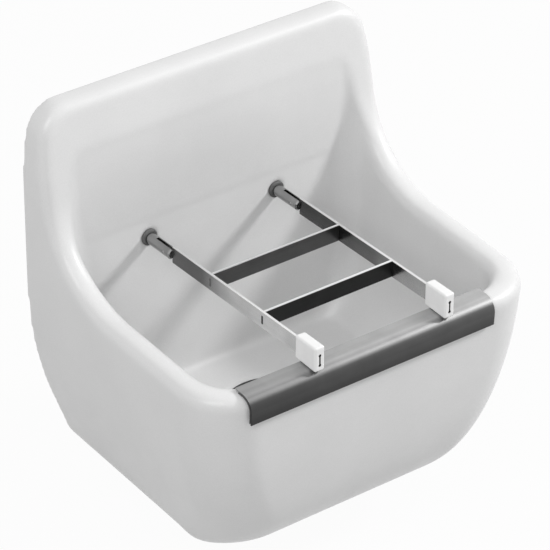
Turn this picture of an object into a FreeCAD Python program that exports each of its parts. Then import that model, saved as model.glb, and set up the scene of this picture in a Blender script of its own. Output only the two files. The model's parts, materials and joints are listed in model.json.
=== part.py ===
# Wall-hung bucket basin: ceramic shell with a splashback, a bucket grate hinged on two
# forked wall studs, a bent steel guard over the front rim, and a clamped waste outlet.
# Millimetres. X to the right, Y towards the wall, Z up.
# The origin lies on the wall plane, midway between the two wall studs.
import FreeCAD, Part
import math
import os
import types
import Sketcher

DRIVING = {
    # Ceramic shell, outside. Levels are heights below or above the hinge axis.
    "basin_width": 452,
    "basin_depth": 348,
    "splash_rise": 194,
    "base_drop": 253,
    "base_fall": 4.5,
    "level_wide": 60,
    "level_bend": 120,
    "level_mid": 100,
    "level_low": 200,
    "base_spare": 2.8,
    "side_inset_top": 17,
    "side_inset_mid": 6,
    "side_inset_low": 34,
    "side_inset_base": 50,
    "front_inset_mid": 8,
    "front_inset_low": 26,
    "front_inset_base": 104,
    "front_corner": 66,
    "front_corner_base": 64,
    "top_corner": 40,
    "base_round": 30,
    # Rim seen from the side: a steep line, a sweep and a gently falling line.
    "rim_corner_reach": 63,
    "rim_corner_drop": 2,
    "rim_lean": 10,
    "rim_fall": 3,
    "rim_sweep": 121,
    "rim_round": 13.5,
    # Ceramic shell, inside.
    "side_wall": 31,
    "side_wall_bend": 20,
    "side_wall_mid": 32,
    "side_wall_floor": 46,
    "front_wall": 34,
    "front_wall_mid": 20,
    "front_wall_floor": 30,
    "splash_wall": 39,
    "splash_wall_bend": 38.5,
    "splash_wall_top": 25.8,
    "back_wall_mid": 47,
    "back_wall_floor": 57,
    "floor_drop": 182,
    "floor_thickness": 25,
    "floor_round": 10,
    "skirt_wall": 34,
    "cavity_corner_front": 44,
    "cavity_corner_back": 30,
    "recess_half_width": 140,
    "recess_low": 45,
    "recess_high": 155,
    "recess_depth": 12,
    "recess_corner": 18,
    # Grate: two arms and two cross bars of flat bar on edge, and two end caps.
    "arm_spacing": 175,
    "bar_height": 20,
    "bar_thickness": 3,
    "rear_bar_reach": 155,
    "front_bar_reach": 249,
    "tenon_height": 10,
    "tenon_gap": 0.1,
    "cap_reach": 348,
    "cap_length": 35,
    "cap_width": 13,
    "cap_rise": 16.5,
    "cap_front_wall": 8,
    "cap_round": 2.5,
    "cap_fit": 0.1,
    "cap_slot_width": 2,
    "cap_slot_height": 12,
    "cap_slot_end": 3.6,
    "cap_slot_depth": 4,
    "rest_gap": 0.3,
    # Hinges: stud, sleeve, grommet, fork and pin on each side.
    "pivot_reach": 74,
    "fork_diameter": 13.5,
    "fork_nose": 10,
    "fork_chamfer": 1.5,
    "fork_slot_back": 19,
    "fork_slot_gap": 0.3,
    "tongue_height": 9,
    "tongue_gap": 0.6,
    "pin_diameter": 4,
    "pin_stand": 0.6,
    "pin_chamfer": 0.8,
    "pin_running_gap": 0.05,
    "pin_press_gap": 0.02,
    "stud_diameter": 8,
    "stud_shank": 7.6,
    "stud_step": 1,
    "stud_in_wall": 60,
    "stud_in_fork": 12,
    "stud_point": 12,
    "stud_end_chamfer": 1,
    "thread_gap": 0.1,
    "stud_hole": 14,
    "sleeve_gap": 0.2,
    "sleeve_length": 18,
    "seat_reach": 38,
    "seat_diameter": 22,
    "grommet_diameter": 20,
    "grommet_flange": 3,
    "grommet_neck": 14,
    "grommet_chamfer": 1.2,
    # Edge guard over the front rim, and its bedding strip.
    "guard_length": 328,
    "guard_offset": 14,
    "guard_sheet": 1.5,
    "guard_flange": 28,
    "guard_depth": 30,
    "bed_gap": 1.5,
    "liner_gap": 0.3,
    "liner_stand": 0.8,
    "liner_edge": 2,
    # Waste outlet in the floor.
    "outlet_reach": 169,
    "outlet_offset": 14,
    "outlet_hole": 50,
    "outlet_recess": 118,
    "outlet_recess_depth": 4.5,
    "outlet_seat": 84,
    "outlet_seat_drop": 22,
    "strainer_diameter": 113,
    "strainer_plate": 3,
    "strainer_edge": 1.5,
    "strainer_hole": 5.5,
    "strainer_ring_inner": 12,
    "strainer_ring_outer": 19.5,
    "strainer_count_inner": 6,
    "strainer_count_outer": 12,
    "upper_seal_width": 9,
    "seal_edge": 0.5,
    "lower_seal_width": 10,
    "lower_seal_thickness": 3,
    "waste_flange": 76,
    "waste_flange_thickness": 4,
    "waste_cup": 52,
    "waste_cup_depth": 26,
    "waste_wall": 3,
    "waste_tail": 40,
    "waste_tail_length": 84,
    "bridge_width": 12,
    "bridge_height": 10,
    "bridge_drop": 4,
    "clamp_screw": 6,
    "clamp_screw_head": 11,
    "clamp_screw_head_height": 2.5,
    "clamp_screw_past": 3,
}


class Size:
    """A number together with the sheet formula that gives it."""

    def __init__(self, value, formula):
        self.value = float(value)
        self.formula = formula

    def __add__(self, other):
        other = as_size(other)
        return Size(self.value + other.value, f"({self.formula} + {other.formula})")

    def __sub__(self, other):
        other = as_size(other)
        return Size(self.value - other.value, f"({self.formula} - {other.formula})")

    def __mul__(self, other):
        other = as_size(other)
        return Size(self.value * other.value, f"({self.formula} * {other.formula})")

    def __truediv__(self, other):
        other = as_size(other)
        return Size(self.value / other.value, f"({self.formula} / {other.formula})")

    def __neg__(self):
        return Size(-self.value, f"(0 - {self.formula})")


def as_size(amount):
    if isinstance(amount, Size):
        return amount
    return Size(amount, repr(amount))


def sine(angle):
    return Size(math.sin(math.radians(angle.value)), f"sin({angle.formula} * 1 deg)")


def cosine(angle):
    return Size(math.cos(math.radians(angle.value)), f"cos({angle.formula} * 1 deg)")


def tangent(angle):
    return Size(math.tan(math.radians(angle.value)), f"tan({angle.formula} * 1 deg)")


# Document and sheet of driving sizes
doc = FreeCAD.newDocument("bucket_basin")
sheet = doc.addObject("Spreadsheet::Sheet", "Sizes")
for row, (name, amount) in enumerate(DRIVING.items(), 1):
    sheet.set(f"A{row}", name)
    sheet.set(f"B{row}", str(amount))
    sheet.setAlias(f"B{row}", name)
doc.recompute()
s = types.SimpleNamespace(**{name: Size(sheet.get(name), f"Sizes.{name}") for name in DRIVING})
ZERO = as_size(0)
PAST = as_size(20)  # how far a cutting outline runs past the solid


def new_body(label):
    body = doc.addObject("PartDesign::Body", label)
    body.Label = label
    return body


def move(body, x=ZERO, y=ZERO, z=ZERO):
    for axis, amount in (("x", x), ("y", y), ("z", z)):
        body.setExpression(f"Placement.Base.{axis}", amount.formula)


def new_sketch(body, name, role, offset=ZERO):
    """Sketch on one of the body's own planes, moved along the plane's normal."""
    sketch = body.newObject("Sketcher::SketchObject", name)
    plane = next(item for item in body.Origin.OriginFeatures if item.Role == role)
    sketch.AttachmentSupport = (plane, [""])
    sketch.MapMode = "FlatFace"
    sketch.setExpression("AttachmentOffset.Base.z", offset.formula)
    return sketch


def constrain(sketch, kind, *references, amount):
    index = sketch.addConstraint(Sketcher.Constraint(kind, *references, amount.value))
    sketch.setExpression(f"Constraints[{index}]", amount.formula)


def pin_point(sketch, geometry, end, x, y):
    constrain(sketch, "DistanceX", -1, 1, geometry, end, amount=x)
    constrain(sketch, "DistanceY", -1, 1, geometry, end, amount=y)


def arc_between(start, end, radius, turns_left):
    """Arc of under half a circle from start to end."""
    chord = end - start
    middle = (start + end) * 0.5
    side = FreeCAD.Vector(-chord.y, chord.x, 0).normalize()
    reach = math.sqrt(max(radius ** 2 - (chord.Length / 2) ** 2, 0))
    centre = middle + side * (reach if turns_left else -reach)
    first, last = (start, end) if turns_left else (end, start)
    angles = [math.atan2(point.y - centre.y, point.x - centre.x) for point in (first, last)]
    circle = Part.Circle(centre, FreeCAD.Vector(0, 0, 1), radius)
    return Part.ArcOfCircle(circle, *angles)


def outline(sketch, corners, bends=None):
    """Closed outline through corners, taken to the left.
    bends gives the radius of each stretch that is an arc, and hollows turn to the right."""
    bends = bends or {}
    points = [FreeCAD.Vector(x.value, y.value, 0) for x, y in corners]
    ends = []
    for index, start in enumerate(points):
        finish = points[(index + 1) % len(points)]
        radius, turns_left = bends.get(index, (None, True))
        if radius is None:
            geometry = sketch.addGeometry(Part.LineSegment(start, finish), False)
        else:
            arc = arc_between(start, finish, radius.value, turns_left)
            geometry = sketch.addGeometry(arc, False)
            constrain(sketch, "Radius", geometry, amount=radius)
        ends.append((geometry, 1, 2) if turns_left else (geometry, 2, 1))
    for index, (x, y) in enumerate(corners):
        geometry, first, last = ends[index]
        following, following_first, _ = ends[(index + 1) % len(ends)]
        meeting = Sketcher.Constraint("Coincident", geometry, last, following, following_first)
        sketch.addConstraint(meeting)
        pin_point(sketch, geometry, first, x, y)


def rectangle(sketch, left, right, low, high):
    outline(sketch, [(left, low), (right, low), (right, high), (left, high)])


def rounded_rectangle(sketch, left, right, low, high, low_round, high_round):
    corners = [
        (left + low_round, low), (right - low_round, low),
        (right, low + low_round), (right, high - high_round),
        (right - high_round, high), (left + high_round, high),
        (left, high - high_round), (left, low + low_round),
    ]
    rounds = {1: low_round, 3: high_round, 5: high_round, 7: low_round}
    outline(sketch, corners, {index: (radius, True) for index, radius in rounds.items()})


def circle(sketch, x, y, diameter):
    shape = Part.Circle(FreeCAD.Vector(x.value, y.value, 0), FreeCAD.Vector(0, 0, 1), diameter.value / 2)
    geometry = sketch.addGeometry(shape, False)
    pin_point(sketch, geometry, 3, x, y)
    constrain(sketch, "Diameter", geometry, amount=diameter)


def feature(body, kind, name, sketch):
    item = body.newObject(f"PartDesign::{kind}", name)
    item.Profile = sketch
    return item


def pad(body, sketch, thickness):
    """Even thickness on both sides of the sketch."""
    item = feature(body, "Pad", f"{sketch.Name}_pad", sketch)
    item.SideType = "Symmetric"
    item.setExpression("Length", thickness.formula)
    doc.recompute()
    return item


def pocket(body, sketch, depth, both_sides=False, along_normal=False):
    """Cut that has to take material away."""
    before = body.Shape.Volume
    item = feature(body, "Pocket", f"{sketch.Name}_cut", sketch)
    item.SideType = "Symmetric" if both_sides else "One side"
    item.Reversed = along_normal
    item.setExpression("Length", depth.formula)
    doc.recompute()
    if not body.Shape.Volume < before:
        raise RuntimeError(f"{sketch.Name} cuts nothing")
    return item


def revolve(body, sketch, axis):
    item = feature(body, "Revolution", f"{sketch.Name}_turn", sketch)
    item.ReferenceAxis = (sketch, [axis])
    item.Angle = 360
    doc.recompute()
    return item


def loft(body, kind, name, sketches):
    item = feature(body, kind, name, sketches[0])
    item.Sections = sketches[1:]
    item.Ruled = False
    doc.recompute()
    return item


def fillet(body, name, radius, chosen):
    """Rounds the edges of the body's last feature that pass the test."""
    base = body.Tip
    names = [f"Edge{number}" for number, edge in enumerate(base.Shape.Edges, 1) if chosen(edge)]
    item = body.newObject("PartDesign::Fillet", name)
    item.Base = (base, names)
    item.setExpression("Radius", radius.formula)
    doc.recompute()
    return item


def polar(body, original, sketch, count):
    item = body.newObject("PartDesign::PolarPattern", f"{original.Name}_ring")
    item.Originals = [original]
    item.Axis = (sketch, ["N_Axis"])
    item.Angle = 360
    item.setExpression("Occurrences", count.formula)
    body.Tip = item
    doc.recompute()
    return item


# Sizes that several pieces share
HALF_WIDTH = s.basin_width / 2
HALF_SPACING = s.arm_spacing / 2
BASE_REACH = s.basin_depth - s.front_inset_base
BASE_END = -s.base_drop - BASE_REACH * tangent(s.base_fall) - s.base_spare
FLOOR = -s.floor_drop
SEAT = FLOOR - s.outlet_seat_drop
FORK_BACK = s.seat_reach + s.grommet_flange
FORK_FRONT = s.pivot_reach + s.fork_nose
SLEEVE_BORE = s.stud_shank + s.sleeve_gap * 2
SLEEVE_OUTSIDE = s.stud_hole - s.sleeve_gap * 2
CAP_BACK = s.cap_reach - s.cap_length
ARM_TIP = s.cap_reach - s.cap_front_wall


def rim_height(reach):
    """Height of the falling part of the rim at a distance from the wall."""
    return -s.rim_corner_drop - (reach - s.rim_corner_reach) * tangent(s.rim_fall)


def guard_height(reach):
    """Height of the guard's top face at a distance from the wall."""
    return rim_height(reach) + (s.bed_gap + s.guard_sheet) / cosine(s.rim_fall)


# Ceramic shell
def shell_section(body, name, level, half_width, depth, corner):
    sketch = new_sketch(body, name, "XY_Plane", level)
    corners = [
        (half_width, PAST), (-half_width, PAST),
        (-half_width, corner - depth), (corner - half_width, -depth),
        (half_width - corner, -depth), (half_width, corner - depth),
    ]
    outline(sketch, corners, {2: (corner, True), 4: (corner, True)})
    return sketch


def cavity_section(body, name, level, half_width, back, depth):
    sketch = new_sketch(body, name, "XY_Plane", level)
    rounded_rectangle(sketch, -half_width, half_width, -depth, -back,
                      s.cavity_corner_front, s.cavity_corner_back)
    return sketch


def rim_outline(sketch):
    """Everything above the rim, seen from the side."""
    run = s.rim_sweep * tangent((as_size(90) - s.rim_lean - s.rim_fall) / 2)
    top = s.splash_rise + PAST
    front = s.basin_depth + PAST
    corners = [
        (-s.rim_corner_reach - run * cosine(s.rim_fall), -s.rim_corner_drop - run * sine(s.rim_fall)),
        (run * sine(s.rim_lean) - s.rim_corner_reach, run * cosine(s.rim_lean) - s.rim_corner_drop),
        ((top + s.rim_corner_drop) * tangent(s.rim_lean) - s.rim_corner_reach, top),
        (-front, top),
        (-front, rim_height(front)),
    ]
    outline(sketch, corners, {0: (s.rim_sweep, True)})


def is_level(edge, height):
    return all(abs(vertex.Z - height.value) < 0.01 for vertex in edge.Vertexes)


def is_rim(face):
    """Faces left by the cut above the rim."""
    surface = face.Surface
    if surface.TypeId == "Part::GeomCylinder":
        return abs(surface.Radius - s.rim_sweep.value) < 0.01
    if surface.TypeId != "Part::GeomPlane":
        return False
    lean = math.radians(s.rim_lean.value)
    fall = math.radians(s.rim_fall.value)
    steep = FreeCAD.Vector(0, math.cos(lean), -math.sin(lean))
    falling = FreeCAD.Vector(0, math.sin(fall), -math.cos(fall))
    return any(abs(abs(surface.Axis.dot(normal)) - 1) < 1e-6 for normal in (steep, falling))


def round_rim(body):
    """Rounds the outer and the inner edge of the rim."""
    edges = [edge for face in body.Tip.Shape.Faces if is_rim(face) for edge in face.Edges]
    once = [edge for edge in edges if sum(edge.isSame(item) for item in edges) == 1]
    fillet(body, "rim_edges", s.rim_round, lambda edge: any(edge.isSame(item) for item in once))


def make_basin():
    body = new_body("basin_body")
    high = s.splash_rise
    full = s.basin_depth
    shell = [
        shell_section(body, "shell_base", BASE_END, HALF_WIDTH - s.side_inset_base,
                      BASE_REACH, s.front_corner_base),
        shell_section(body, "shell_low", -s.level_low, HALF_WIDTH - s.side_inset_low,
                      full - s.front_inset_low, s.front_corner),
        shell_section(body, "shell_mid", -s.level_mid, HALF_WIDTH - s.side_inset_mid,
                      full - s.front_inset_mid, s.front_corner),
        shell_section(body, "shell_rim", ZERO, HALF_WIDTH, full, s.front_corner),
        shell_section(body, "shell_wide", s.level_wide, HALF_WIDTH, full, s.front_corner),
        shell_section(body, "shell_top", high, HALF_WIDTH - s.side_inset_top, full, s.front_corner),
    ]
    loft(body, "AdditiveLoft", "shell_form", shell)

    behind = new_sketch(body, "behind_wall", "XZ_Plane")
    rectangle(behind, -s.basin_width, s.basin_width, BASE_END - PAST, high + PAST)
    pocket(body, behind, PAST * 2)

    above = new_sketch(body, "above_rim", "YZ_Plane")
    rim_outline(above)
    pocket(body, above, s.basin_width * 2, both_sides=True)
    fillet(body, "top_corners", s.top_corner,
           lambda edge: is_level(edge, high) and edge.BoundBox.YLength > edge.BoundBox.XLength)

    below = new_sketch(body, "below_base", "YZ_Plane")
    lowest = BASE_END - PAST
    outline(below, [
        (-full, lowest), (PAST, lowest), (PAST, PAST * tangent(s.base_fall) - s.base_drop),
        (-full, -s.base_drop - full * tangent(s.base_fall)),
    ])
    pocket(body, below, s.basin_width * 2, both_sides=True)
    base = min(body.Tip.Shape.Faces, key=lambda face: face.CenterOfMass.z)
    base_edges = [edge for edge in base.Edges if edge.BoundBox.YMin < -1]
    fillet(body, "base_edges", s.base_round, lambda edge: any(edge.isSame(item) for item in base_edges))

    clear_of_top = high + PAST
    cavity = [
        cavity_section(body, "cavity_floor", FLOOR, HALF_WIDTH - s.side_inset_low - s.side_wall_floor,
                       s.back_wall_floor, full - s.front_inset_low - s.front_wall_floor),
        cavity_section(body, "cavity_mid", -s.level_mid, HALF_WIDTH - s.side_inset_mid - s.side_wall_mid,
                       s.back_wall_mid, full - s.front_inset_mid - s.front_wall_mid),
        cavity_section(body, "cavity_rim", ZERO, HALF_WIDTH - s.side_wall,
                       s.splash_wall, full - s.front_wall),
        cavity_section(body, "cavity_bend", s.level_bend, HALF_WIDTH - s.side_wall_bend,
                       s.splash_wall_bend, full - s.front_wall),
        cavity_section(body, "cavity_top", clear_of_top, HALF_WIDTH - s.side_inset_top - s.side_wall_bend,
                       s.splash_wall_top, full - s.front_wall),
    ]
    loft(body, "SubtractiveLoft", "cavity_form", cavity)
    fillet(body, "floor_edges", s.floor_round, lambda edge: is_level(edge, FLOOR))
    round_rim(body)

    skirt = [
        shell_section(body, "skirt_base", BASE_END, HALF_WIDTH - s.side_inset_base - s.skirt_wall,
                      BASE_REACH - s.skirt_wall, s.front_corner_base - s.skirt_wall),
        shell_section(body, "skirt_top", FLOOR - s.floor_thickness,
                      HALF_WIDTH - s.side_inset_low - s.skirt_wall,
                      full - s.front_inset_low - s.skirt_wall, s.front_corner - s.skirt_wall),
    ]
    loft(body, "SubtractiveLoft", "skirt_form", skirt)

    studs = new_sketch(body, "stud_holes", "XZ_Plane")
    for x in (-HALF_SPACING, HALF_SPACING):
        circle(studs, x, ZERO, s.stud_hole)
    pocket(body, studs, s.splash_wall + PAST, along_normal=True)

    seats = new_sketch(body, "grommet_seats", "XZ_Plane", s.seat_reach)
    for x in (-HALF_SPACING, HALF_SPACING):
        circle(seats, x, ZERO, s.seat_diameter)
    pocket(body, seats, PAST, along_normal=True)

    hollow = new_sketch(body, "back_hollow", "XZ_Plane")
    rounded_rectangle(hollow, -s.recess_half_width, s.recess_half_width,
                      s.recess_low, s.recess_high, s.recess_corner, s.recess_corner)
    pocket(body, hollow, s.recess_depth, along_normal=True)

    drain = new_sketch(body, "drain_hole", "XY_Plane", FLOOR)
    circle(drain, -s.outlet_offset, -s.outlet_reach, s.outlet_hole)
    pocket(body, drain, s.outlet_seat_drop + PAST)

    recess = new_sketch(body, "strainer_recess", "XY_Plane", FLOOR)
    circle(recess, -s.outlet_offset, -s.outlet_reach, s.outlet_recess)
    pocket(body, recess, s.outlet_recess_depth)

    seat = new_sketch(body, "waste_seat", "XY_Plane", SEAT)
    circle(seat, -s.outlet_offset, -s.outlet_reach, s.outlet_seat)
    pocket(body, seat, PAST)
    return body


# Steel edge guard and its bedding strip
def hang_on_rim(body):
    """Sets a piece on the front rim, tilted as the rim is."""
    tilt = FreeCAD.Rotation(FreeCAD.Vector(1, 0, 0), s.rim_fall.value)
    body.Placement = FreeCAD.Placement(FreeCAD.Vector(0, 0, 0), tilt)
    body.setExpression("Placement.Rotation.Angle", f"{s.rim_fall.formula} * 1 deg")
    move(body, -s.guard_offset, -s.basin_depth, rim_height(s.basin_depth))


def make_guard():
    body = new_body("edge_guard")
    under = s.bed_gap
    over = s.bed_gap + s.guard_sheet
    bend_in = s.rim_round + under
    bend_out = s.rim_round + over
    back = s.guard_depth - over
    corners = [
        (back, over), (bend_out - over, over), (-over, over - bend_out), (-over, -s.guard_flange),
        (-under, -s.guard_flange), (-under, under - bend_in), (bend_in - under, under), (back, under),
    ]
    section = new_sketch(body, "guard_section", "YZ_Plane")
    outline(section, corners, {1: (bend_out, True), 5: (bend_in, False)})
    pad(body, section, s.guard_length)
    hang_on_rim(body)
    return body


def make_liner():
    body = new_body("edge_guard_liner")
    under = s.liner_gap
    over = s.bed_gap - s.liner_gap
    bend_in = s.rim_round + under
    bend_out = s.rim_round + over
    back = s.front_wall - s.rim_round
    low = s.liner_edge - s.guard_flange
    corners = [
        (back, over), (bend_out - over, over), (-over, over - bend_out), (-over, low),
        (-under, low), (-under, under - bend_in), (bend_in - under, under), (back, under),
    ]
    section = new_sketch(body, "liner_section", "YZ_Plane")
    outline(section, corners, {1: (bend_out, True), 5: (bend_in, False)})
    pad(body, section, s.guard_length + s.liner_stand * 2)
    hang_on_rim(body)
    return body


# Bucket grate
def make_arm(label, x):
    body = new_body(label)
    top = s.bar_height / 2
    tongue = s.tongue_height / 2
    pivot = -s.pivot_reach
    shoulder = -FORK_FRONT - s.tongue_gap
    side = new_sketch(body, f"{label}_side", "YZ_Plane")
    corners = [
        (pivot, tongue), (shoulder, tongue), (shoulder, top), (-ARM_TIP, top), (-ARM_TIP, -top),
        (shoulder, -top), (shoulder, -tongue), (pivot, -tongue), (pivot + tongue, ZERO),
    ]
    outline(side, corners, {7: (tongue, True), 8: (tongue, True)})
    circle(side, pivot, ZERO, s.pin_diameter + s.pin_running_gap * 2)
    tenon_half = s.tenon_height / 2 + s.tenon_gap
    bar_half = s.bar_thickness / 2 + s.tenon_gap
    for reach in (s.rear_bar_reach, s.front_bar_reach):
        rectangle(side, -reach - bar_half, bar_half - reach, -tenon_half, tenon_half)
    pad(body, side, s.bar_thickness)
    move(body, x)
    return body


def make_cross_bar(label, reach):
    body = new_body(label)
    top = s.bar_height / 2
    tenon = s.tenon_height / 2
    shoulder = HALF_SPACING - s.bar_thickness / 2
    end = HALF_SPACING + s.bar_thickness / 2
    face = new_sketch(body, f"{label}_face", "XZ_Plane", reach)
    corners = [
        (shoulder, -top), (shoulder, -tenon), (end, -tenon),
        (end, tenon), (shoulder, tenon), (shoulder, top),
        (-shoulder, top), (-shoulder, tenon), (-end, tenon),
        (-end, -tenon), (-shoulder, -tenon), (-shoulder, -top),
    ]
    outline(face, corners)
    pad(body, face, s.bar_thickness)
    return body


def make_end_cap(label, x):
    body = new_body(label)
    top = s.cap_rise
    side = new_sketch(body, f"{label}_side", "YZ_Plane")
    corners = [
        (-CAP_BACK, top), (-s.cap_reach, top), (-s.cap_reach, guard_height(s.cap_reach) + s.rest_gap),
        (-CAP_BACK, guard_height(CAP_BACK) + s.rest_gap),
    ]
    outline(side, corners)
    pad(body, side, s.cap_width)
    fillet(body, f"{label}_edges", s.cap_round, lambda edge: True)

    socket = new_sketch(body, f"{label}_socket", "XZ_Plane", CAP_BACK)
    wide = s.bar_thickness / 2 + s.cap_fit
    tall = s.bar_height / 2 + s.cap_fit
    rectangle(socket, -wide, wide, -tall, tall)
    pocket(body, socket, s.cap_length - s.cap_front_wall + s.cap_fit, along_normal=True)

    slot = new_sketch(body, f"{label}_slot", "XZ_Plane", s.cap_reach)
    wide = s.cap_slot_width / 2
    tall = s.cap_slot_height / 2
    rectangle(slot, -wide, wide, -tall, tall)
    pocket(body, slot, s.cap_slot_depth)
    ends = new_sketch(body, f"{label}_slot_ends", "XZ_Plane", s.cap_reach)
    for z in (-tall, tall):
        circle(ends, ZERO, z, s.cap_slot_end)
    pocket(body, ends, s.cap_slot_depth)
    move(body, x)
    return body


# Hinges
def make_fork(label, x):
    body = new_body(label)
    outside = s.fork_diameter / 2
    bore = s.stud_shank / 2 + s.thread_gap
    bore_end = FORK_BACK + s.stud_in_fork + s.stud_end_chamfer
    half = new_sketch(body, f"{label}_half", "XY_Plane")
    corners = [
        (ZERO, -FORK_FRONT), (outside - s.fork_chamfer, -FORK_FRONT),
        (outside, s.fork_chamfer - FORK_FRONT), (outside, -FORK_BACK), (bore, -FORK_BACK),
        (bore, -bore_end), (ZERO, -bore_end),
    ]
    outline(half, corners)
    revolve(body, half, "V_Axis")
    slot = new_sketch(body, f"{label}_slot", "XY_Plane")
    wide = s.bar_thickness / 2 + s.fork_slot_gap
    rectangle(slot, -wide, wide, -FORK_FRONT - PAST, s.fork_slot_back - s.pivot_reach)
    pocket(body, slot, s.fork_diameter * 2, both_sides=True)
    hole = new_sketch(body, f"{label}_hole", "YZ_Plane")
    circle(hole, -s.pivot_reach, ZERO, s.pin_diameter + s.pin_press_gap * 2)
    pocket(body, hole, s.fork_diameter * 2, both_sides=True)
    move(body, x)
    return body


def make_pin(label, x):
    body = new_body(label)
    radius = s.pin_diameter / 2
    end = s.fork_diameter / 2 + s.pin_stand
    half = new_sketch(body, f"{label}_half", "XY_Plane")
    corners = [
        (-end, ZERO), (end, ZERO), (end, radius - s.pin_chamfer), (end - s.pin_chamfer, radius),
        (s.pin_chamfer - end, radius), (-end, radius - s.pin_chamfer),
    ]
    outline(half, corners)
    revolve(body, half, "H_Axis")
    move(body, x, -s.pivot_reach)
    return body


def make_grommet(label, x):
    body = new_body(label)
    bore = SLEEVE_BORE / 2
    outside = s.grommet_diameter / 2
    neck = SLEEVE_OUTSIDE / 2
    neck_end = s.grommet_neck - s.seat_reach
    half = new_sketch(body, f"{label}_half", "XY_Plane")
    corners = [
        (bore, -FORK_BACK), (outside - s.grommet_chamfer, -FORK_BACK),
        (outside, s.grommet_chamfer - FORK_BACK), (outside, -s.seat_reach), (neck, -s.seat_reach),
        (neck, neck_end), (bore, neck_end),
    ]
    outline(half, corners)
    revolve(body, half, "V_Axis")
    move(body, x)
    return body


def make_stud(label, x):
    body = new_body(label)
    radius = s.stud_diameter / 2
    shank = s.stud_shank / 2
    tip = s.stud_end_chamfer
    end = FORK_BACK + s.stud_in_fork
    half = new_sketch(body, f"{label}_half", "XY_Plane")
    corners = [
        (ZERO, -end), (shank - tip, -end), (shank, tip - end), (shank, s.stud_step), (radius, s.stud_step),
        (radius, s.stud_in_wall - s.stud_point), (tip, s.stud_in_wall), (ZERO, s.stud_in_wall),
    ]
    outline(half, corners)
    revolve(body, half, "V_Axis")
    move(body, x)
    return body


def make_sleeve(label, x):
    body = new_body(label)
    half = new_sketch(body, f"{label}_half", "XY_Plane")
    rectangle(half, SLEEVE_BORE / 2, SLEEVE_OUTSIDE / 2, -s.sleeve_length, ZERO)
    revolve(body, half, "V_Axis")
    move(body, x)
    return body


# Waste outlet, every piece turned about the outlet's upright axis
WASTE_TOP = SEAT - s.lower_seal_thickness
BRIDGE_MIDDLE = WASTE_TOP - s.bridge_drop - s.bridge_height / 2


def turned(label, corners):
    body = new_body(label)
    half = new_sketch(body, f"{label}_half", "XZ_Plane")
    outline(half, corners)
    revolve(body, half, "V_Axis")
    move(body, -s.outlet_offset, -s.outlet_reach)
    return body


def ring(label, inside, outside, low, high):
    return turned(label, [(inside, low), (outside, low), (outside, high), (inside, high)])


def make_strainer():
    outside = s.strainer_diameter / 2
    under = FLOOR - s.strainer_plate
    shaft = s.clamp_screw / 2 + s.sleeve_gap
    head = s.clamp_screw_head / 2 + s.sleeve_gap
    body = turned("waste_strainer", [
        (shaft, under), (outside, under), (outside, FLOOR - s.strainer_edge),
        (outside - s.strainer_edge, FLOOR), (head, FLOOR), (shaft, FLOOR - s.clamp_screw_head_height),
    ])
    rings = (("inner", s.strainer_ring_inner, s.strainer_count_inner),
             ("outer", s.strainer_ring_outer, s.strainer_count_outer))
    for name, radius, count in rings:
        hole = new_sketch(body, f"strainer_{name}", "XY_Plane", FLOOR)
        circle(hole, radius, ZERO, s.strainer_hole)
        polar(body, pocket(body, hole, s.strainer_plate * 2), hole, count)
    return body


def make_clamp_screw():
    shaft = s.clamp_screw / 2
    end = BRIDGE_MIDDLE - s.bridge_height / 2 - s.clamp_screw_past
    return turned("waste_screw", [
        (ZERO, end), (shaft, end), (shaft, FLOOR - s.clamp_screw_head_height),
        (s.clamp_screw_head / 2, FLOOR), (ZERO, FLOOR),
    ])


def make_waste_body():
    flange = s.waste_flange / 2
    flange_low = WASTE_TOP - s.waste_flange_thickness
    cup = s.waste_cup / 2
    tail = s.waste_tail / 2
    cup_bore = cup - s.waste_wall
    tail_bore = tail - s.waste_wall
    neck = WASTE_TOP - s.waste_cup_depth
    neck_bore = neck + s.waste_wall * tangent(as_size(22.5))
    end = neck - s.waste_tail_length
    body = turned("waste_body", [
        (tail_bore, end), (tail, end), (tail, neck), (cup, neck + cup - tail), (cup, flange_low),
        (flange, flange_low), (flange, WASTE_TOP), (cup_bore, WASTE_TOP),
        (cup_bore, neck_bore + cup_bore - tail_bore), (tail_bore, neck_bore),
    ])
    bridge = new_sketch(body, "waste_bridge", "XY_Plane", BRIDGE_MIDDLE)
    reach = cup - s.waste_wall / 2
    rectangle(bridge, -reach, reach, -s.bridge_width / 2, s.bridge_width / 2)
    pad(body, bridge, s.bridge_height)
    thread = new_sketch(body, "waste_thread", "XY_Plane", BRIDGE_MIDDLE)
    circle(thread, ZERO, ZERO, s.clamp_screw + s.thread_gap * 2)
    pocket(body, thread, s.bridge_height * 2, both_sides=True)
    return body


pieces = [
    make_basin(),
    make_guard(),
    make_liner(),
    make_cross_bar("grate_cross_bar_rear", s.rear_bar_reach),
    make_cross_bar("grate_cross_bar_front", s.front_bar_reach),
    make_strainer(),
    make_clamp_screw(),
    ring("waste_seal_upper", s.strainer_diameter / 2 - s.upper_seal_width,
         s.strainer_diameter / 2 - s.seal_edge, FLOOR - s.outlet_recess_depth, FLOOR - s.strainer_plate),
    ring("waste_seal_lower", s.outlet_hole / 2 + s.seal_edge,
         s.outlet_hole / 2 + s.lower_seal_width, WASTE_TOP, SEAT),
    make_waste_body(),
]
for hand, x in (("left", -HALF_SPACING), ("right", HALF_SPACING)):
    pieces += [
        make_arm(f"grate_arm_{hand}", x),
        make_end_cap(f"end_cap_{hand}", x),
        make_fork(f"hinge_fork_{hand}", x),
        make_pin(f"hinge_pin_{hand}", x),
        make_grommet(f"hinge_grommet_{hand}", x),
        make_stud(f"wall_stud_{hand}", x),
        make_sleeve(f"stud_sleeve_{hand}", x),
    ]
doc.recompute()

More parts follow.
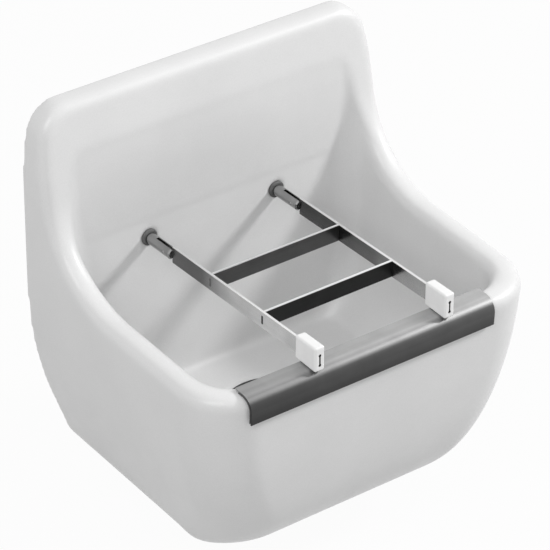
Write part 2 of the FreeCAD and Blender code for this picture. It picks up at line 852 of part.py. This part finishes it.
# Every object has to be sound before the files are written
faulty = [item.Name for item in doc.Objects if "Invalid" in item.State or "Error" in item.State]
faulty += [piece.Label for piece in pieces if piece.Shape.isNull() or not piece.Shape.isValid()]
if faulty:
    raise RuntimeError(f"not sound: {faulty}")
os.makedirs("parts", exist_ok=True)
for piece in pieces:
    piece.Shape.exportStep(f"parts/{piece.Label}.step")
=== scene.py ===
import json
import math
import bmesh
import bpy
from mathutils import Matrix, Vector


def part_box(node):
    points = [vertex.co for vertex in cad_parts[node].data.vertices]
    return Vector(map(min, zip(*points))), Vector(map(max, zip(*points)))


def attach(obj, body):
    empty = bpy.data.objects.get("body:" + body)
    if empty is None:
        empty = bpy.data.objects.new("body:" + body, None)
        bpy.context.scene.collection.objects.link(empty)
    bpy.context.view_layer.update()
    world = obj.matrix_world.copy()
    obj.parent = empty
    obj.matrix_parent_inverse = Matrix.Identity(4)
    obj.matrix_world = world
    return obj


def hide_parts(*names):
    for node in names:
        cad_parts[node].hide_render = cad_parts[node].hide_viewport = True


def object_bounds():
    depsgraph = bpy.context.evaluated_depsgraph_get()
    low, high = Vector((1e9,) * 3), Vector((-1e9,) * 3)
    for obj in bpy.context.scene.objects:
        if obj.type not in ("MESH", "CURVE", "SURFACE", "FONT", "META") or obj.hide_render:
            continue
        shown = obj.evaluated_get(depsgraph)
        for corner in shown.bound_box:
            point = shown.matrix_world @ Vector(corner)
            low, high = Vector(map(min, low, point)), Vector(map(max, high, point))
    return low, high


# Lengths are in metres unless a name says otherwise
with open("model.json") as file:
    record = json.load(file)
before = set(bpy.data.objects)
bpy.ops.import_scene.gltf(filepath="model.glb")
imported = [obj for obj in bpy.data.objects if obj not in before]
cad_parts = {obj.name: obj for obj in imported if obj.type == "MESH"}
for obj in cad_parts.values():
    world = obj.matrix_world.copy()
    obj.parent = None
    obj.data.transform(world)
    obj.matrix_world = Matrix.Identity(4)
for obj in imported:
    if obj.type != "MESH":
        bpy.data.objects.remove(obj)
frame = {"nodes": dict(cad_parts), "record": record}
cad_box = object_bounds()
nodes = frame["nodes"]
scene = bpy.context.scene


# Node helpers; the owner is a material or a world
def fill_in(node, inputs):
    """Sets fixed values on a node; an underscore stands for a space in an input's name."""
    for socket, value in inputs.items():
        node.inputs[socket.replace("_", " ")].default_value = value


def add(owner, kind, **inputs):
    node = owner.node_tree.nodes.new(kind)
    fill_in(node, inputs)
    return node


def link(owner, source, target):
    owner.node_tree.links.new(source, target)


def feed(owner, source, target):
    """Gives an input its value, which is a number or another node's output."""
    if isinstance(source, (int, float)):
        target.default_value = source
    else:
        link(owner, source, target)


def calc(owner, operation, first, second=0.0):
    """One sum; first is an output, second a number or an output."""
    node = add(owner, "ShaderNodeMath")
    node.operation = operation
    link(owner, first, node.inputs[0])
    feed(owner, second, node.inputs[1])
    return node.outputs[0]


# Material helpers
noise_ends = (0.3, 0.7)
streak_ends = (0.35, 0.65)
dust_ends = (0.35, 0.75)


def shader_of(material):
    return material.node_tree.nodes["Principled BSDF"]


def new_material(name, **inputs):
    """A material whose shader has these fixed values."""
    material = bpy.data.materials.new(name)
    material.use_nodes = True
    fill_in(shader_of(material), inputs)
    return material


def surface(material, colour, roughness, normal):
    """Links these outputs to the material's shader."""
    inputs = shader_of(material).inputs
    link(material, colour, inputs["Base Color"])
    link(material, roughness, inputs["Roughness"])
    link(material, normal, inputs["Normal"])
    return material


def coordinates(material):
    """Places in the frame's metres, for a piece at rest."""
    return add(material, "ShaderNodeTexCoord").outputs["Object"]


def place(material, stretch=(1, 1, 1)):
    """Coordinates stretched per axis."""
    mapping = add(material, "ShaderNodeMapping", Scale=stretch)
    link(material, coordinates(material), mapping.inputs["Vector"])
    return mapping.outputs["Vector"]


def noise(material, vector, scale, detail=4.0, rough=0.55):
    node = add(material, "ShaderNodeTexNoise", Scale=scale, Detail=detail, Roughness=rough)
    link(material, vector, node.inputs["Vector"])
    return node.outputs["Fac"]


def ramp(material, factor, stops):
    """Maps a factor to greys at the given positions."""
    node = add(material, "ShaderNodeValToRGB")
    elements = node.color_ramp.elements
    while len(elements) < len(stops):
        elements.new(0.5)
    for element, (position, grey) in zip(elements, stops):
        element.position = position
        element.color = (grey, grey, grey, 1)
    link(material, factor, node.inputs["Fac"])
    return node.outputs["Color"]


def shades(material, factor, first, last, ends=noise_ends):
    """Goes from one grey to another between two values of a noise."""
    return ramp(material, factor, [(ends[0], first), (ends[1], last)])


def bump(material, height, strength, distance, under=None):
    """Relief from a height; under is a coarser relief that it lies on."""
    node = add(material, "ShaderNodeBump", Strength=strength, Distance=distance)
    link(material, height, node.inputs["Height"])
    if under is not None:
        link(material, under, node.inputs["Normal"])
    return node.outputs["Normal"]


def along(material, axis):
    """One coordinate."""
    split = add(material, "ShaderNodeSeparateXYZ")
    link(material, coordinates(material), split.inputs["Vector"])
    return split.outputs[axis]


def between(material, axis, low, high):
    """0 at low, 1 at high, along one axis."""
    node = add(material, "ShaderNodeMapRange", From_Min=low, From_Max=high)
    link(material, along(material, axis), node.inputs["Value"])
    return node.outputs["Result"]


def mixed(material, kind, factor, first, second):
    """Two colours mixed; the factor is a number or an output."""
    node = add(material, "ShaderNodeMix")
    node.data_type = "RGBA"
    node.blend_type = kind
    feed(material, factor, node.inputs["Factor"])
    link(material, first, node.inputs["A"])
    link(material, second, node.inputs["B"])
    return node.outputs["Result"]


def times(material, first, second):
    return mixed(material, "MULTIPLY", 1.0, first, second)


def inside(material, centre, half):
    """1 in a box, given by its centre and half sizes, and in its mirror image across X."""
    parts = []
    for axis, middle, reach in zip("XYZ", centre, half):
        place_on = along(material, axis)
        if axis == "X":
            place_on = calc(material, "ABSOLUTE", place_on)
        offset = calc(material, "ABSOLUTE", calc(material, "SUBTRACT", place_on, middle))
        parts.append(calc(material, "LESS_THAN", offset, reach))
    both = calc(material, "MULTIPLY", parts[0], parts[1])
    return calc(material, "MULTIPLY", both, parts[2])


# Materials
# Depth of the painted highlight along the top of a bar
highlight_depth = 0.0005


def glazed_ceramic():
    """White glaze over fired clay: faint clouding, a gentle wave and fine orange peel."""
    material = new_material("glazed_ceramic", IOR=1.5, Coat_Weight=0.2, Coat_Roughness=0.12)
    vector = place(material)
    clouds = shades(material, noise(material, vector, scale=9.0, detail=3.0), 0.69, 0.73)
    specks = shades(material, noise(material, vector, scale=700.0, detail=2.0), 0.955, 1.0)
    sheen = shades(material, noise(material, vector, scale=35.0), 0.36, 0.44)
    swell = noise(material, vector, scale=14.0, detail=2.0)
    wave = bump(material, swell, strength=0.10, distance=0.004)
    peel = noise(material, vector, scale=420.0, detail=2.0)
    relief = bump(material, peel, strength=0.035, distance=0.0004, under=wave)
    return surface(material, times(material, clouds, specks), sheen, relief)


def drawn_steel_painted_light(name, tones, stretch, run, rough, edge=None, spread=None):
    """Drawn or rolled steel: lines along the bar, blotches, and tones that change along a run; the tones
    are painted light and shade. A run is an axis with its two ends. edge is the height from which the top
    is painted bright as a highlight; spread is a second run and the factors that the tones are multiplied
    by along it, painted light that brightens towards one end."""
    material = new_material(name, Metallic=1.0)
    lines = noise(material, place(material, stretch), scale=60.0, detail=8.0, rough=0.65)
    blotches = noise(material, place(material), scale=45.0)
    # Tones along the run: painted light and shade
    tone = ramp(material, between(material, *run), tones)
    tone = times(material, tone, shades(material, blotches, 0.88, 1.0))
    tone = times(material, tone, shades(material, lines, 0.84, 1.0, streak_ends))
    if spread:
        second_run, factors = spread
        tone = times(material, tone, ramp(material, between(material, *second_run), factors))
    # Painted highlight: the top of the bar painted bright
    if edge:
        highlight_band = between(material, "Z", edge - highlight_depth, edge)
        bright = shades(material, lines, 0.78, 0.92, streak_ends)
        tone = mixed(material, "MIX", highlight_band, tone, bright)
    relief = bump(material, lines, strength=0.12, distance=0.0003)
    return surface(material, tone, shades(material, lines, *rough), relief)


def moulded_plastic(name, tones, rough, shade_box=None):
    """Moulded plastic: fine mould texture and a slight unevenness, and black painted shade in the box
    given as its last argument.
    """
    material = new_material(name, IOR=1.48)
    vector = place(material)
    tone = shades(material, noise(material, vector, scale=60.0), *tones)
    grain = noise(material, vector, scale=900.0, detail=2.0)
    # Painted shade: black inside the box
    if shade_box:
        painted_slot_shade = shades(material, grain, 0.008, 0.02)
        tone = mixed(material, "MIX", inside(material, *shade_box), tone, painted_slot_shade)
    relief = bump(material, grain, strength=0.08, distance=0.0002)
    return surface(material, tone, shades(material, grain, *rough), relief)


def rubber():
    """Matt rubber, unevenly dusty."""
    material = new_material("dark_rubber", IOR=1.45)
    vector = place(material)
    dust = noise(material, vector, scale=140.0, detail=6.0)
    tone = shades(material, dust, 0.08, 0.15, dust_ends)
    grain = noise(material, vector, scale=700.0, detail=3.0)
    relief = bump(material, grain, strength=0.15, distance=0.0003)
    return surface(material, tone, shades(material, dust, 0.55, 0.8), relief)


# Places along which the tones, painted light and shade, change
along_x = (0.03, 1, 1)
along_y = (1, 0.03, 1)
guard_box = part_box("edge_guard")
arm_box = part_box("grate_arm_left")
cap_low, cap_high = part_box("end_cap_right")
guard_painted_light_rise = ("Z", guard_box[0][2], guard_box[1][2])
guard_painted_light_width = ("X", guard_box[0][0], guard_box[1][0])
arm_run = ("Y", arm_box[0][1], arm_box[1][1])
bars_shade_run = ("Y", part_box("grate_cross_bar_front")[0][1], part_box("grate_cross_bar_rear")[1][1])
edge_margin = 0.0002
# The painted highlight on the arms' tops starts just below them
highlight_from = arm_box[1][2] - edge_margin

# Slot in each cap's front: its walls are painted black as shade from just behind the front to past its
# bottom
slot_inset = 0.0024
slot_half = (0.0019, 0.0021, 0.0079)
cap_slot_shade = (((cap_low[0] + cap_high[0]) / 2, cap_low[1] + slot_inset, 0.0), slot_half)

# One material for each slot in the record, and copies with painted shade for pieces that look darker than
# their slot
arm_rough = (0.20, 0.30)
white_tones = (0.79, 0.83)
white_rough = (0.32, 0.42)
materials = {
    "glazed_ceramic": glazed_ceramic(),
    # Guard: painted shade on the flange and painted light on the top, brightening towards the right, the
    # key lamp's side
    "guard_steel": drawn_steel_painted_light(
        "guard_steel", [(0.0, 0.07), (0.45, 0.10), (0.75, 0.12), (0.92, 0.34), (0.96, 0.54)],
        along_x, guard_painted_light_rise, (0.34, 0.46), spread=(guard_painted_light_width, [(0.0, 0.70), (0.5, 0.88), (1.0, 1.0)])),
    # Grate arms: painted reflection, bright at the front and dark towards the hinges, and a painted
    # highlight along the top
    "grate_steel": drawn_steel_painted_light(
        "grate_steel", [(0.0, 0.92), (0.5, 0.86), (0.60, 0.60), (0.74, 0.22), (1.0, 0.18)],
        along_y, arm_run, arm_rough, edge=highlight_from),
    "bright_steel": drawn_steel_painted_light("bright_steel", [(0.0, 0.42), (1.0, 0.42)], along_y, arm_run, (0.08, 0.16)),
    "stud_steel": drawn_steel_painted_light("stud_steel", [(0.0, 0.50), (1.0, 0.50)], along_y, arm_run, (0.28, 0.40)),
    "white_plastic": moulded_plastic("white_plastic", white_tones, white_rough),
    "black_plastic": moulded_plastic("black_plastic", (0.02, 0.035), (0.35, 0.50)),
    "dark_rubber": rubber(),
}
# Cross bars: a darker copy of the grate steel, painted shade and painted dark reflection, a little lighter
# towards the rear
painted_shade_bars = drawn_steel_painted_light(
    "grate_bar_steel_painted_shade", [(0.0, 0.07), (1.0, 0.20)], along_x, bars_shade_run, (0.24, 0.34), edge=highlight_from)
# Right arm: a darker copy of the grate steel, painted shade that deepens towards the hinge
painted_shade_arm = drawn_steel_painted_light(
    "grate_arm_steel_painted_shade", [(0.0, 0.62), (0.24, 0.54), (0.45, 0.22), (0.69, 0.12), (1.0, 0.10)],
    along_y, arm_run, arm_rough, edge=highlight_from)
# Caps: white plastic with painted shade in the slot
cap_plastic_slot_shade = moulded_plastic("cap_plastic_slot_shade", white_tones, white_rough, shade_box=cap_slot_shade)
painted_shade_copies = {
    "grate_cross_bar_rear": painted_shade_bars,
    "grate_cross_bar_front": painted_shade_bars,
    "grate_arm_right": painted_shade_arm,
    "end_cap_left": cap_plastic_slot_shade,
    "end_cap_right": cap_plastic_slot_shade,
}
slot_of = {entry["node"]: entry["material_slot"] for entry in frame["record"]["subparts"]}
hard_edge = math.radians(32)
for name, node in nodes.items():
    node.data.materials.clear()
    node.data.materials.append(painted_shade_copies.get(name, materials[slot_of[name]]))
    node.data.shade_smooth()
    split = node.modifiers.new("hard_edges", "EDGE_SPLIT")
    split.split_angle = hard_edge

# Ceramic body as it leaves the kiln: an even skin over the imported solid, with its edges eased and the
# splashback's face bent forward to meet the leaning rim near the top. The foot is a height and a Y place.
grid = 0.003
weld = 0.00001
ease_factor = 0.5
ease_rounds = 10
splash_side = 0.203
splash_front = -0.022
splash_foot = (0.025, -0.0392)
splash_flush = 0.16
splash_top = 0.165
rim_foot = -0.063
rim_drop = 0.002
rim_slope = math.tan(math.radians(10))


def rim_at(height):
    """Y place of the leaning rim."""
    return rim_foot + (height + rim_drop) * rim_slope


def splash_at(height):
    """Y place of the splashback's face: upright at its foot, and on the rim from splash_flush up."""
    if height >= splash_flush:
        return rim_at(height)
    low, start = splash_foot
    end = rim_at(splash_flush)
    span = splash_flush - low
    share = (height - low) / span
    bend = share * share * (3 - 2 * share)
    lean = span * rim_slope * share * share * (share - 1)
    return start + (end - start) * bend + lean


def evaluated(item):
    """The item's mesh with its modifiers applied."""
    bpy.context.view_layer.update()
    shown = item.evaluated_get(bpy.context.evaluated_depsgraph_get())
    return bpy.data.meshes.new_from_object(shown)


def glazed_body():
    mesh = nodes["basin_body"].data.copy()
    mesh.name = "basin_glazed"
    work = bmesh.new()
    work.from_mesh(mesh)
    bmesh.ops.remove_doubles(work, verts=work.verts, dist=weld)
    work.to_mesh(mesh)
    work.free()
    piece = bpy.data.objects.new("basin_glazed", mesh)
    scene.collection.objects.link(piece)
    skin = piece.modifiers.new("skin", "REMESH")
    skin.mode = "VOXEL"
    skin.voxel_size = grid
    piece.data = evaluated(piece)
    piece.modifiers.clear()
    for vertex in piece.data.vertices:
        x, y, z = vertex.co
        if splash_foot[0] < z < splash_top and abs(x) < splash_side and y < splash_front:
            vertex.co.y = min(y, splash_at(z))
    ease = piece.modifiers.new("ease", "SMOOTH")
    ease.factor = ease_factor
    ease.iterations = ease_rounds
    piece.data = evaluated(piece)
    piece.modifiers.clear()
    piece.data.materials.clear()
    piece.data.materials.append(materials["glazed_ceramic"])
    piece.data.shade_smooth()
    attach(piece, "basin")
    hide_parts("basin_body")


glazed_body()


# Surroundings
def seen_directly(owner):
    """1 for the camera, for reflections and for light let through."""
    path = add(owner, "ShaderNodeLightPath")
    direct = path.outputs["Is Camera Ray"]
    for kind in ("Is Glossy Ray", "Is Transmission Ray"):
        direct = calc(owner, "MAXIMUM", direct, path.outputs[kind])
    return direct


def blended(owner, output_kind, share, first, second):
    """Makes the owner look like the first shader, and like the second by the share."""
    blend = add(owner, "ShaderNodeMixShader")
    link(owner, share, blend.inputs["Fac"])
    link(owner, first.outputs[0], blend.inputs[1])
    link(owner, second.outputs[0], blend.inputs[2])
    output = add(owner, output_kind)
    link(owner, blend.outputs[0], output.inputs["Surface"])


# Floor, almost white to the camera and in reflections, with a faint shadow on it
floor_size = 12.0
floor_gap = 0.002
floor_grey = 0.50
floor_glow = 0.96
floor_level = cad_box[0][2] - floor_gap
bpy.ops.mesh.primitive_plane_add(size=floor_size, location=(0, 0, floor_level))
floor = bpy.context.object
floor.name = "floor"
paper = bpy.data.materials.new("floor_paper")
paper.use_nodes = True
paper.node_tree.nodes.clear()
diffuse = add(paper, "ShaderNodeBsdfDiffuse", Color=(floor_grey, floor_grey, floor_grey, 1))
glow = add(paper, "ShaderNodeEmission", Strength=1.0)
glow_share = calc(paper, "MULTIPLY", seen_directly(paper), floor_glow)
blended(paper, "ShaderNodeOutputMaterial", glow_share, diffuse, glow)
floor.data.materials.append(paper)

# World: plain soft light, white where the camera or a reflection sees it
white = (1, 1, 1, 1)
soft_light = 0.62
world = bpy.data.worlds.new("studio")
scene.world = world
world.use_nodes = True
world.node_tree.nodes.clear()
ambient = add(world, "ShaderNodeBackground", Color=white, Strength=soft_light)
backdrop = add(world, "ShaderNodeBackground", Color=white)
blended(world, "ShaderNodeOutputWorld", seen_directly(world), ambient, backdrop)

# Lights
lit_point = (0, -0.17, -0.02)


def area_light(name, location, size, watts):
    lamp = bpy.data.lights.new(name, "AREA")
    lamp.shape = "DISK"
    lamp.size = size
    lamp.energy = watts
    holder = bpy.data.objects.new(name, lamp)
    scene.collection.objects.link(holder)
    holder.location = location
    direction = Vector(lit_point) - Vector(location)
    holder.rotation_euler = direction.to_track_quat("-Z", "Y").to_euler()


area_light("key", (2.28, -1.23, 1.61), size=0.5, watts=54)
area_light("fill", (-1.93, -1.285, 1.99), size=1.6, watts=29)

# Camera at the photograph's viewing angle; off_centre is in pixels, to the right and up
azimuth = math.radians(-36.69)
elevation = math.radians(31.43)
roll = math.radians(-0.29)
distance = 3.855
far_limit = 50
focal_pixels = 3500
image_pixels = 550
sensor_millimetres = 36
off_centre = (19.28, -32.56)
target = Vector((0, -0.118, 0))
upright = Vector((0, 0, 1))
forward = Vector((
    -math.sin(azimuth) * math.cos(elevation),
    math.cos(azimuth) * math.cos(elevation),
    -math.sin(elevation),
))
right = forward.cross(upright).normalized()
up = right.cross(forward)
eye = target - forward * distance
aim = (forward * focal_pixels + right * off_centre[0] + up * off_centre[1]).normalized()
side = aim.cross(upright).normalized()
top = side.cross(aim)
turn = Matrix.Rotation(roll, 3, aim)
axes = [turn @ side, turn @ top, -aim]
lens = bpy.data.cameras.new("camera")
lens.sensor_width = sensor_millimetres
lens.lens = focal_pixels / image_pixels * sensor_millimetres
lens.clip_end = far_limit
camera = bpy.data.objects.new("camera", lens)
scene.collection.objects.link(camera)
camera.matrix_world = Matrix.Translation(eye) @ Matrix(axes).transposed().to_4x4()
scene.camera = camera
scene.view_settings.view_transform = "Standard"
